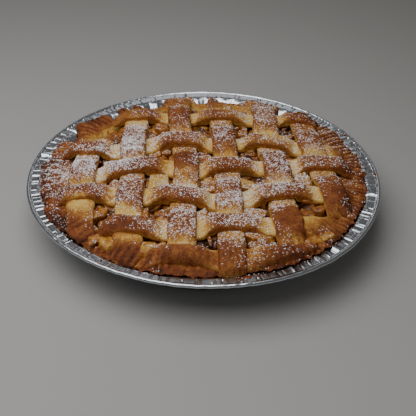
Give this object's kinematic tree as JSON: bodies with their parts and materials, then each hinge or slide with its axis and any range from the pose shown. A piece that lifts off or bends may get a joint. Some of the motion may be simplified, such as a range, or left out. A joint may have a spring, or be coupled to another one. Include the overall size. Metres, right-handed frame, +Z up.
{
  "type": "lattice apple pie",
  "caption": "Round apple pie with a woven pastry lattice and a fork-pressed rim, baked in a shallow foil dish, dusted with icing sugar.",
  "frame": {"origin": "centre of the dish's flat underside, on the surface it stands on", "axes": "+Z up, the short way of the pie; -Y is the front, where the ends of the front-to-back strips reach the edge of the crust; +X is to the right seen from the front"},
  "size_m": [0.2444, 0.2444, 0.0438],
  "materials": {
    "foil": "thin aluminium foil, bright, drawn into flutes on the side, with fine radial creases on the flange and a rolled bead",
    "crust": "short pastry baked deep brown at the pressed rim, dull, with crumbly torn edges and a light dusting of sugar",
    "lattice": "short pastry strips baked golden brown on top and pale yellow where sheltered, dull to slightly glazed, dusted with icing sugar",
    "filling": "cooked apple slices and cubes in their syrup, amber to brown, moist and glossy"
  },
  "bodies": {
    "root": {"foil_dish": "foil", "pastry_shell": "crust", "apple_filling": "filling", "strip_along_1": "lattice", "strip_along_2": "lattice", "strip_along_3": "lattice", "strip_along_4": "lattice", "strip_along_5": "lattice", "strip_along_6": "lattice", "strip_across_1": "lattice", "strip_across_2": "lattice", "strip_across_3": "lattice", "strip_across_4": "lattice", "strip_across_5": "lattice", "strip_across_6": "lattice"}
  },
  "joints": []
}
